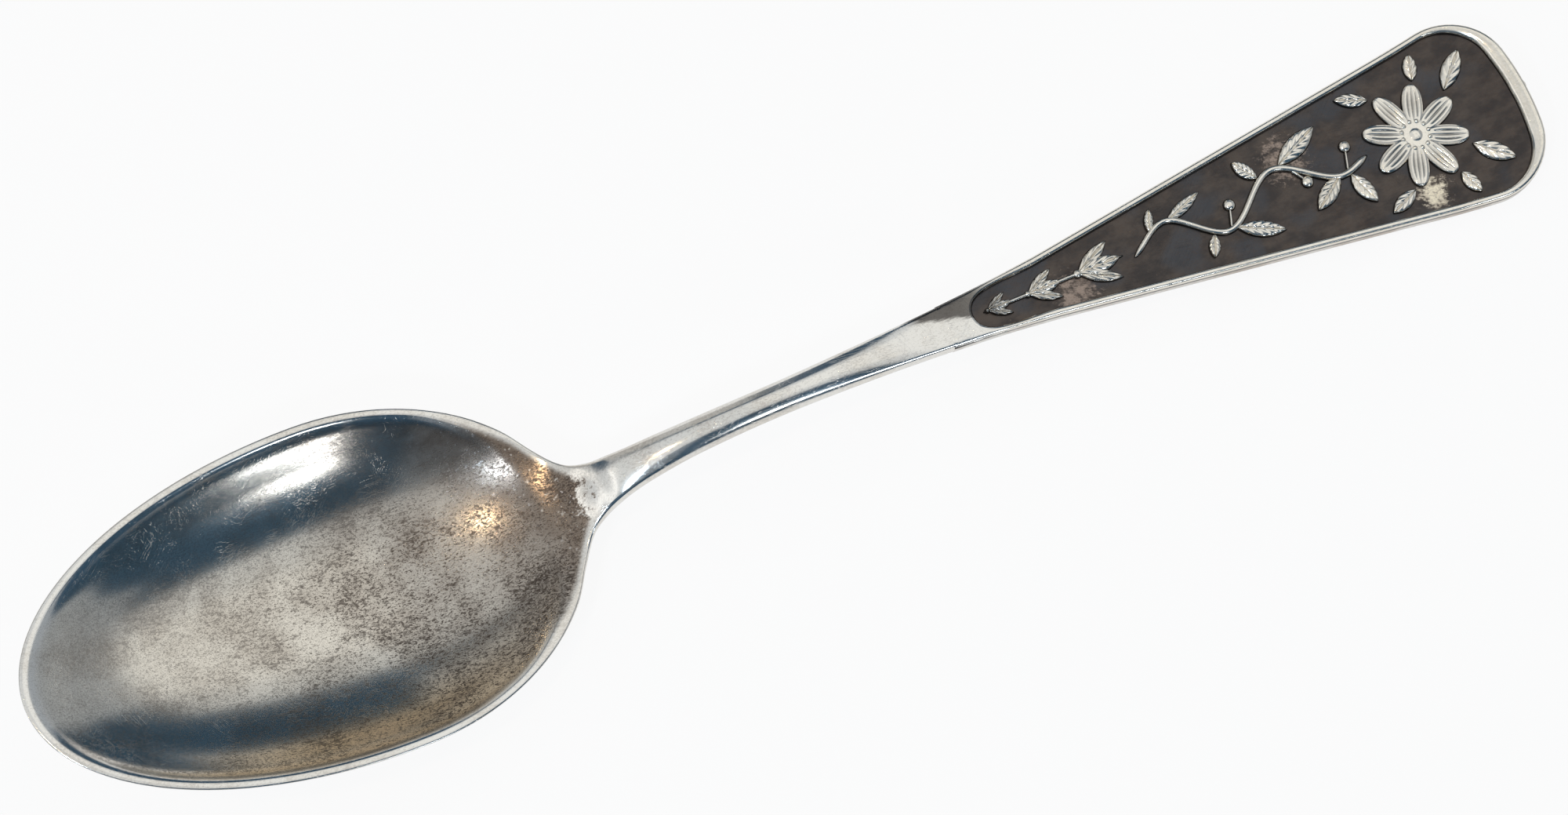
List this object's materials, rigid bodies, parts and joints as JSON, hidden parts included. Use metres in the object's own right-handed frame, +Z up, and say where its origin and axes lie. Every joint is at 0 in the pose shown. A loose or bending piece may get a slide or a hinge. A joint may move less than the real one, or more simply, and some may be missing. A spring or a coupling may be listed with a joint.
{
  "type": "souvenir spoon",
  "caption": "Struck silver teaspoon with an egg-shaped bowl, slim stem and flared handle panel carrying bordered floral relief.",
  "frame": {"origin": "centre of the length and width, on the surface that the spoon rests on", "axes": "+X from the bowl's tip to the handle's end, +Y across, +Z up with the bowl open upwards"},
  "size_m": [0.15, 0.0312, 0.0149],
  "materials": {
    "bowl_silver": "tarnished sterling silver, fine scratches and grey-brown mottling",
    "stem_silver": "worn bright sterling silver",
    "oxidised_silver": "oxidised silver ground, nearly black, worn back",
    "border_silver": "bright raised silver border",
    "relief_silver": "bright polished silver relief"
  },
  "bodies": {
    "root": {"bowl": "bowl_silver", "stem": "stem_silver", "panel": "oxidised_silver", "border": "border_silver", "blossom": "relief_silver", "leaf_spray": "relief_silver", "vine": "relief_silver", "bellflowers": "relief_silver"}
  },
  "joints": []
}
